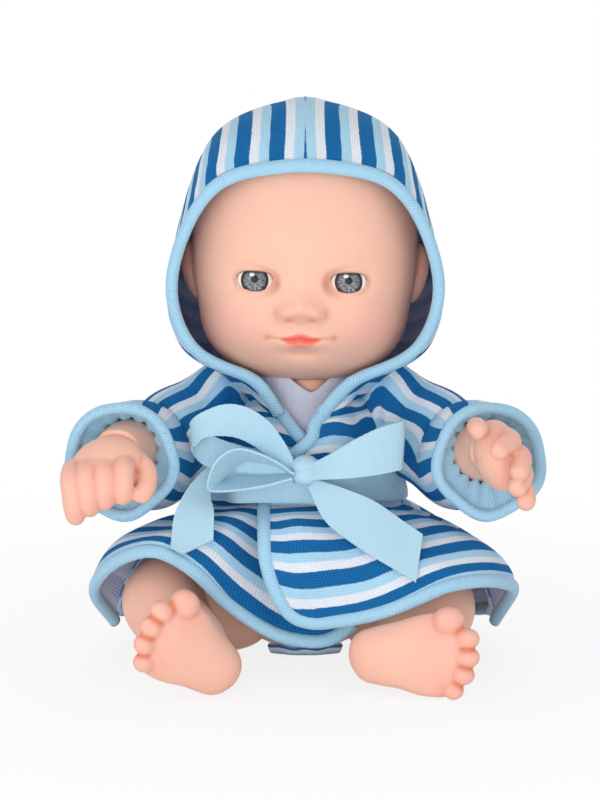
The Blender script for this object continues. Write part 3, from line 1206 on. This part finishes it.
class DOLL_OT_limbs(PieceOperator):
    """Make the arms with their hands and the legs with their feet"""

    bl_idname = "doll.limbs"
    bl_label = "Arms and legs"

    def execute(self, context):
        for name, side in SIDES:
            obj, co, hollow = fuse(arm(side < 0), side, "arm_skin_" + name, voxel=0.4, rounds=5)
            tip = smooth((HAND[1] - 4 - co[:, 1]) / 9)
            mark(obj, blush=0.08 + 0.25 * tip, crease=hollow, lip=0)
            self.piece(obj, "soft_vinyl", "arm_" + name, body="arm_" + name)
        toes = np.array(TOES) * [1, -FOOT_L, 1, 1]
        pads = np.array([[-4.4, -22.0, 0.5], [5.0, -21.0, 0.5], [0, -3.0, 1.5]])
        for name, side in SIDES:
            obj, co, hollow = fuse(leg(*LEGS[name]), side, "leg_skin_" + name, voxel=0.38, rounds=4)

            def far(points):
                """Distance of each point of the skin from points of the foot."""
                placed = aimed(points, *LEGS[name][2:]) * mirrored(side)
                return np.stack([np.linalg.norm(co - t, axis=-1) for t in placed])

            gaps = np.sort(far(toes[:, :3]) - toes[:, 3:], 0)
            between = bump(gaps[0] - 0.3, 0.8) * bump(gaps[1] - 0.3, 0.9)
            blush = 0.06 + 0.3 * bump(gaps[0], 3.5) + np.sum(0.16 * bump(far(pads), 6), 0)
            mark(obj, blush=np.clip(blush, 0, 0.75), crease=np.maximum(hollow, between), lip=0)
            self.piece(obj, "soft_vinyl", "leg_" + name, body="leg_" + name)
        return {"FINISHED"}


class DOLL_OT_robe(PieceOperator):
    """Make the robe's back, fronts, tail and their bindings"""

    bl_idname = "doll.robe"
    bl_label = "Robe body"

    def back(self):
        """Back with soft folds in its skirt; its side edges pass under the fronts as a seam allowance."""
        middle = np.array([0, 0, 45.0])
        u, v = mesh_grid(200, 130)
        u = mix(-0.016, 1.016, u)
        p = robe_back(u, v)
        n = outward(p, middle)
        s, inset = below_waist(v), np.minimum(u, 1 - u)
        p = p - n * (0.95 * smooth((0.012 - inset) / 0.02))[..., None]
        fold = 1.2 * ripple(360 * 5 * u + 60) * smooth(s / 0.4) * smooth((1.03 - s) / 0.3)
        p = p + n * (fold * smooth(inset / 0.06))[..., None]
        form = Form()
        form.shell(p, CLOTH_T, cloth_uv(p, shift=2.0, wave=0.5 * sin(360 * 2 * u)), middle)
        cloth = self.piece(form.build("robe_back_cloth"), "robe_towelling", "robe_back", body="torso")
        edge = beside(p[-1], -n[-1], EDGE_OFF)
        edge[:, 2] = np.maximum(edge[:, 2], BINDING_R + 0.1)
        form = Form()
        tube(form, edge, BINDING_R, n[-1])
        hem = self.piece(form.build("back_hem_edge"), "twill_binding", "hem_binding_back", body="torso")
        self.sheet(cloth, p, "draped", rests_on=["torso_back_shell"], with_pieces=[hem])

    def front(self, name, side):
        """Front panel and its binding; the right edge is bound only where the left front doesn't hide it."""
        way = mirrored(side)
        p, v = front_panel(side)
        n = normals(p)
        across = np.linspace(0, 1, p.shape[1])[None]
        wave = 0.8 * sin(250 * v + 500 * across) + 5 * (1 - across) * smooth((v - 0.4) / 0.4)
        form = Form()
        uv = cloth_uv(p, shift=5.2 if side > 0 else 3.0, wave=wave)
        form.shell(p, CLOTH_T, uv, np.array([10, 0, 30.0]), mirror=side < 0)
        if side < 0:
            neck_facing(form)
        node = "robe_front_" + name
        panel = self.piece(form.build(node + "_cloth"), "robe_towelling", node)
        if side > 0:
            runs, off = [lambda g: np.concatenate([g[9:, -1], g[-1, -2::-1]])], EDGE_OFF
        else:
            runs, off = [lambda g: g[8:int(0.2 * len(g)), -1], lambda g: g[-1, ::-1]], EDGE_OFF + 0.1
        form = Form()
        for run in runs:
            tube(form, beside(run(p), run(n), off) * way, BINDING_R, run(n) * way)
        edge = self.piece(form.build("robe_edge_" + name), "twill_binding", "front_binding_" + name)
        if side < 0:
            edge.data.flip_normals()
        for piece in (panel, edge):
            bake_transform(piece)
        self.sheet(panel, p, "draped", rests_on=["torso_front_shell", "leg_" + name], with_pieces=[edge])

    def tail(self):
        """Tail: the cloth that comes forward from under the seat between the legs."""
        u, v = mesh_grid(90, 40)
        w = 2 * u - 1
        seat = torso_point((CLOTH_T + 0.2) / TORSO_H, 28 * w - 90, CLOTH_GAP)
        p = vec(mix(seat[..., 0], 10 * w, v), mix(seat[..., 1], -25 + 4 * w**2, v),
                CLOTH_T / 2 + 0.2 + (4.6 + 0.25 * cos(540 * w)) * v**2)
        form = Form()
        form.shell(p, CLOTH_T, cloth_uv(p, shift=7.3), np.array([0, -20, 40.0]))
        cloth = self.piece(form.build("robe_tail_cloth"), "robe_towelling", "robe_tail", body="torso")
        self.sheet(cloth, p, "laid")

    def execute(self, context):
        self.back()
        for name, side in SIDES:
            self.front(name, side)
        self.tail()
        return {"FINISHED"}


class DOLL_OT_sleeves(PieceOperator):
    """Make the sleeves, their rolled cuffs and the gathered linings in them"""

    bl_idname = "doll.sleeves"
    bl_label = "Sleeves and cuffs"

    def execute(self, context):
        u, v = mesh_grid(150, 100, True)
        v = mix(-0.14, 1, v)
        p = sleeve(u, v)
        n = outward(p, p.mean(1, keepdims=True), True)
        crook = 0.55 * sin(360 * (3.2 * v + 0.35 * sin(360 * u + 40)))
        crook = crook * smooth(v / 0.15) * smooth((1 - v) / 0.15)
        p = p + n * (0.35 + crook)[..., None] * smooth(v / 0.1)[..., None]
        p = p + vec(0, 0, 4.2 * bump(v - 0.1, 0.24) * smooth((n[..., 2] + 0.1) / 1.1))
        uu, vv, middle = wrapped(u), wrapped(v), p.mean(1, keepdims=True)
        wave = 1.3 * sin(360 * (1.7 * vv + 0.5 * sin(360 * uu))) * smooth(vv / 0.2)
        end, last = sleeve(u[-1], v[-1]), sleeve(u[-1], v[-1] - 0.02)
        path = end + unit(end - last) * EDGE_OFF
        radius = BINDING_R * (1 + 0.03 * sin(360 * 9 * u[-1]))
        # Lining: a funnel from the cuff in to the wrist, in pleats that run out to nothing at the cuff
        uw, vw = mesh_grid(220, 40, True)
        rim, line = sleeve(uw, 1 - 0.12 * vw), curve(ARM_LINE, mix(SLEEVE_END, 0.68, vw))
        core = line[..., :3]
        wrist = (line[..., 3] + 0.1) / np.linalg.norm(rim - core, axis=-1)
        pleats = 0.045 * sin(360 * 16 * uw + 90 * sin(360 * uw)) * smooth(vw / 0.3)
        lining = mix(core, rim, (mix(0.95, wrist, smooth(vw)) + pleats)[..., None])
        for name, side in SIDES:
            way = mirrored(side)
            form = Form()
            form.shell(p, CLOTH_T, cloth_uv(p, True, True, 1.5, wave), middle, True, side < 0)
            cloth = self.piece(form.build("sleeve_" + name + "_cloth"), "robe_towelling", "sleeve_" + name)
            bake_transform(cloth)
            form = Form()
            tube(form, path * way, radius, unit(path - path.mean(0)) * way, True)
            form.shell(lining, LINING_T, cloth_uv(lining, True) + np.array([0, 0.05]), core, True, side < 0)
            cuff = self.piece(form.build("cuff_" + name), "twill_binding", "cuff_binding_" + name,
                              body="arm_" + name)
            self.sheet(cloth, p, "hung", True, rests_on=["arm_" + name], with_pieces=[cuff])
        return {"FINISHED"}


class DOLL_OT_hood(PieceOperator):
    """Make the hood with its centre seam and its rolled edge"""

    bl_idname = "doll.hood"
    bl_label = "Hood"

    def execute(self, context):
        u, v = mesh_grid(242, 110)
        q = 1.1 * np.abs(2 * u - 1)
        way = np.where(u < 0.5, -1.0, 1.0)
        p = mix(hood(np.minimum(q, 1), v) + HEAD, neckline(way, v), np.clip(q * 10 - 10, 0, 1)[..., None])
        p = p * vec(way, 1, 1)
        n = outward(p, HEAD)
        seam = -0.55 * bump(q, 0.016) + 0.25 * bump(q - 0.03, 0.02)
        fold = 0.5 * sin(360 * (2.3 * v + 1.2 * q)) * smooth((q - 0.5) / 0.2)
        soft = 0.5 * sin(360 * (1.5 * q + 0.3 * v)) * smooth(q / 0.1)
        soft = soft * smooth((1 - v) / 0.2) * smooth(v / 0.1)
        rise = seam + 0.3 * smooth(q / 0.1) + (fold + soft) * smooth((1 - q) / 0.1)
        p = p + n * (rise * smooth((1.1 - q) / 0.1) * smooth((1 - v) / 0.08))[..., None]
        # Stripes run along the seam: the length across a row is made the same in all rows
        span = lengths(p[:, p.shape[1] // 2:], 1)
        row = span / span[:, -1:] * np.mean(span[:40, -1])
        across = np.concatenate([row[:, :0:-1], row], 1)
        along = lengths(p, 0).mean(1)[:, None] + 0 * across
        form = Form()
        form.shell(p, CLOTH_T, np.stack([along, across + 3.6 + 0.5 * sin(500 * v)], -1) * MM, HEAD)
        cloth = self.piece(form.build("hood_cloth"), "robe_towelling", "hood_left", "hood_right")
        form = Form()
        tube(form, beside(p[0], n[0], EDGE_OFF, 40), BINDING_R * 1.05, n[0])
        edge = self.piece(form.build("hood_edge"), "twill_binding", "hood_binding")
        for piece in (cloth, edge):
            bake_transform(piece)
        self.sheet(cloth, p, "draped", rests_on=["head_shell"], with_pieces=[edge])
        return {"FINISHED"}


class DOLL_OT_bow(PieceOperator):
    """Make the ribbon belt and its bow"""

    bl_idname = "doll.bow"
    bl_label = "Belt and bow"

    def execute(self, context):
        middle = np.array([0, 0, 48.0])
        u, v = mesh_grid(260, 20, True)
        p = belt(u, v)
        p = p + outward(p, middle, True) * (0.15 + 0.15 * sin(360 * (11 * u + v)))[..., None]
        form = Form()
        form.shell(p, RIBBON_T, cloth_uv(p, True), middle, True)
        band = self.piece(form.build("belt_ribbon"), "ribbed_ribbon", "belt", body="torso")
        self.sheet(band, p, "stretched", True, rests_on=["robe_back"])
        # Knot: a short band wrapped round the loops, with pleats that run across it
        a = np.linspace(-84, 84, 60)[:, None]
        b = circle(90)
        wrap = 1 + 0.06 * sin(4 * a + 60 * sin(b)) * cos(a) - 0.1 * bump(a - 14 - 16 * sin(b + 40), 9)
        p = vec(3.9 * cos(a) ** 0.7 * cos(b) * wrap, 3.3 * cos(a) ** 0.7 * sin(b) * wrap,
                3.9 * sin(a) + 0 * b) + KNOT
        full = wrapped(p)
        form = Form()
        form.skin(p, np.stack([lengths(full, 1), lengths(full, 0)], -1) * MM)
        self.piece(form.build("bow_knot_wrap"), "ribbed_ribbon", "bow_knot", body="torso")
        for name, spec in LOOPS.items():
            form = Form()
            p = ribbon(form, *spec)
            loop = self.piece(form.build("bow_loop_" + name), "ribbed_ribbon", "bow_loops", body="torso")
            self.sheet(loop, p, "folded")
        for name, under, point in (("left", "leg_right", 0.16), ("right", "leg_left", 0.0)):
            form = Form()
            p = ribbon(form, *TAILS[name], point)
            tail = self.piece(form.build("bow_tail_" + name), "ribbed_ribbon", "bow_tails")
            start, end = (KNOT + np.array(TAILS[name][0])[k] for k in (1, -1))
            tuple(mix(start, end, 1.6) * MM)
            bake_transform(tail)
            self.sheet(tail, p, "draped")
        return {"FINISHED"}


class DOLL_OT_frame(PieceOperator):
    """Give the torso and the sound module in it their finishes"""

    bl_idname = "doll.frame"
    bl_label = "Torso and sound module"

    def execute(self, context):
        c = context.scene.doll_colours
        vinyl = moulded_finish("moulded_vinyl", c.skin, 0.45, 2400.0)
        steel = moulded_finish("bright_steel", (0.55, 0.56, 0.58), 0.22, 3200.0, 0.15, 1.0)
        finishes = {
            ("torso_front_shell", "torso_back_shell", "battery_cover"): vinyl,
            ("tummy_button",): moulded_finish("button_vinyl", c.blush, 0.4, 2400.0),
            ("torso_screws", "button_spring", "battery_cover_screw", "button_cells"): steel,
            ("tact_switch", "speaker"): moulded_finish("black_moulding", (0.02, 0.02, 0.022), 0.5, 2600.0),
            ("circuit_board",): moulded_finish("lacquered_board", (0.02, 0.16, 0.06), 0.3, 1500.0),
            ("lead_wires",): moulded_finish("lead_cover", (0.42, 0.02, 0.02), 0.42, 2000.0),
            ("battery_contacts",): moulded_finish("contact_strip", (0.7, 0.5, 0.2), 0.25, 3000.0, 0.15, 1.0),
        }
        for names, material in finishes.items():
            for name in names:
                obj = bpy.data.objects[name]
                obj.data.materials.clear()
                obj.data.materials.append(material)
        return {"FINISHED"}


class DOLL_OT_stage(PieceOperator):
    """Make the pale floor, the soft lights and the camera at the photograph's angle"""

    bl_idname = "doll.stage"
    bl_label = "Stage"

    def execute(self, context):
        scene = context.scene
        scene.view_settings.view_transform = "Standard"
        form = Form()
        u, v = mesh_grid(24, 24)
        form.grid(vec((u - 0.5) * FLOOR_W, (v - 0.5) * FLOOR_W, -0.3 + 0 * u))
        floor = form.build("floor")
        f = Finish("pale_floor")
        far = f.node("ShaderNodeVectorMath", {"operation": "LENGTH"}, {0: f.place()}, 1)
        plain = f.node("ShaderNodeBsdfDiffuse", None, {"Color": (0.93, 0.93, 0.93, 1)})
        white = f.node("ShaderNodeEmission", None, {"Color": (1, 1, 1, 1), "Strength": 1.0})
        share = f.seen() * (0.84 + 0.16 * far.step(0.06, 0.24))
        f.node_out(f.node("ShaderNodeMixShader", None, {0: share, 1: plain, 2: white}))
        floor.data.materials.append(f.material)
        floor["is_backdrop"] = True
        f = Finish("studio", True)
        light = 0.72 + 0.28 * f.seen()
        f.node_out(f.node("ShaderNodeBackground", None, {"Color": (1, 1, 1, 1), "Strength": light}))
        scene.world = f.material
        lamps = (("key", (-0.36, -1.0, 0.1), 0.6, 1.05), ("fill", (0.45, -1.0, 0.08), 0.7, 0.7),
                 ("rim", (0.1, 0.7, 0.8), 0.7, 0.6), ("bounce", (-0.08, -0.5, 0.02), 0.3, 1.5),
                 ("sparkle", (-0.2, -0.8, 0.45), 0.13, 0.2))
        for name, place, size, power in lamps:
            lamp = bpy.data.objects.new(name, bpy.data.lights.new(name, "AREA"))
            lamp.data.size, lamp.data.energy = size, power
            lamp.location = place
            aim = Vector((0, 0, 0.08)) - lamp.location
            lamp.rotation_euler = aim.to_track_quat("-Z", "Y").to_euler()
            scene.collection.objects.link(lamp)
        camera = bpy.data.objects.new("camera", bpy.data.cameras.new("camera"))
        scene.collection.objects.link(camera)
        scene.camera = camera
        target, reach, lift = Vector((-0.0014, 0, 0.0684)), 0.7, np.radians(10)
        camera.location = target + reach * Vector((0, -np.cos(lift), np.sin(lift)))
        camera.rotation_euler = (target - camera.location).to_track_quat("-Z", "Y").to_euler()
        sensor, lens = 24, 76.44
        camera.data.sensor_fit, camera.data.sensor_height, camera.data.lens = "VERTICAL", sensor, lens
        camera.data.clip_start, camera.data.clip_end = 0.01, 60
        return {"FINISHED"}


class DOLL_PT_pieces(bpy.types.Panel):
    """The doll's colours, cloth sizes and pieces"""

    bl_label = "Doll"
    bl_idname = "DOLL_PT_pieces"
    bl_space_type = "VIEW_3D"
    bl_region_type = "UI"
    bl_category = "Doll"

    def draw(self, context):
        for group in (context.scene.doll_colours, context.scene.doll_sizes):
            column = self.layout.column()
            for key in group.__annotations__:
                column.prop(group, key)
        for operator in OPERATORS:
            self.layout.operator(operator.bl_idname)


OPERATORS = (DOLL_OT_stage, DOLL_OT_frame, DOLL_OT_head, DOLL_OT_eyes, DOLL_OT_limbs, DOLL_OT_robe,
             DOLL_OT_sleeves, DOLL_OT_hood, DOLL_OT_bow)
CLASSES = (DollColours, DollSizes, *OPERATORS, DOLL_PT_pieces)


def register():
    for cls in CLASSES:
        bpy.utils.register_class(cls)
    bpy.types.Scene.doll_colours = PointerProperty(type=DollColours)
    bpy.types.Scene.doll_sizes = PointerProperty(type=DollSizes)


def unregister():
    del bpy.types.Scene.doll_colours, bpy.types.Scene.doll_sizes
    for cls in reversed(CLASSES):
        bpy.utils.unregister_class(cls)


def main():
    register()
    for operator in OPERATORS:
        group, name = operator.bl_idname.split(".")
        getattr(getattr(bpy.ops, group), name)()
    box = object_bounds()
    plain = lambda b: [[float(x) for x in corner] for corner in b]
    {"cad": plain(CAD_BOX), "visual": plain(box)}


if __name__ == "__main__":
    main()
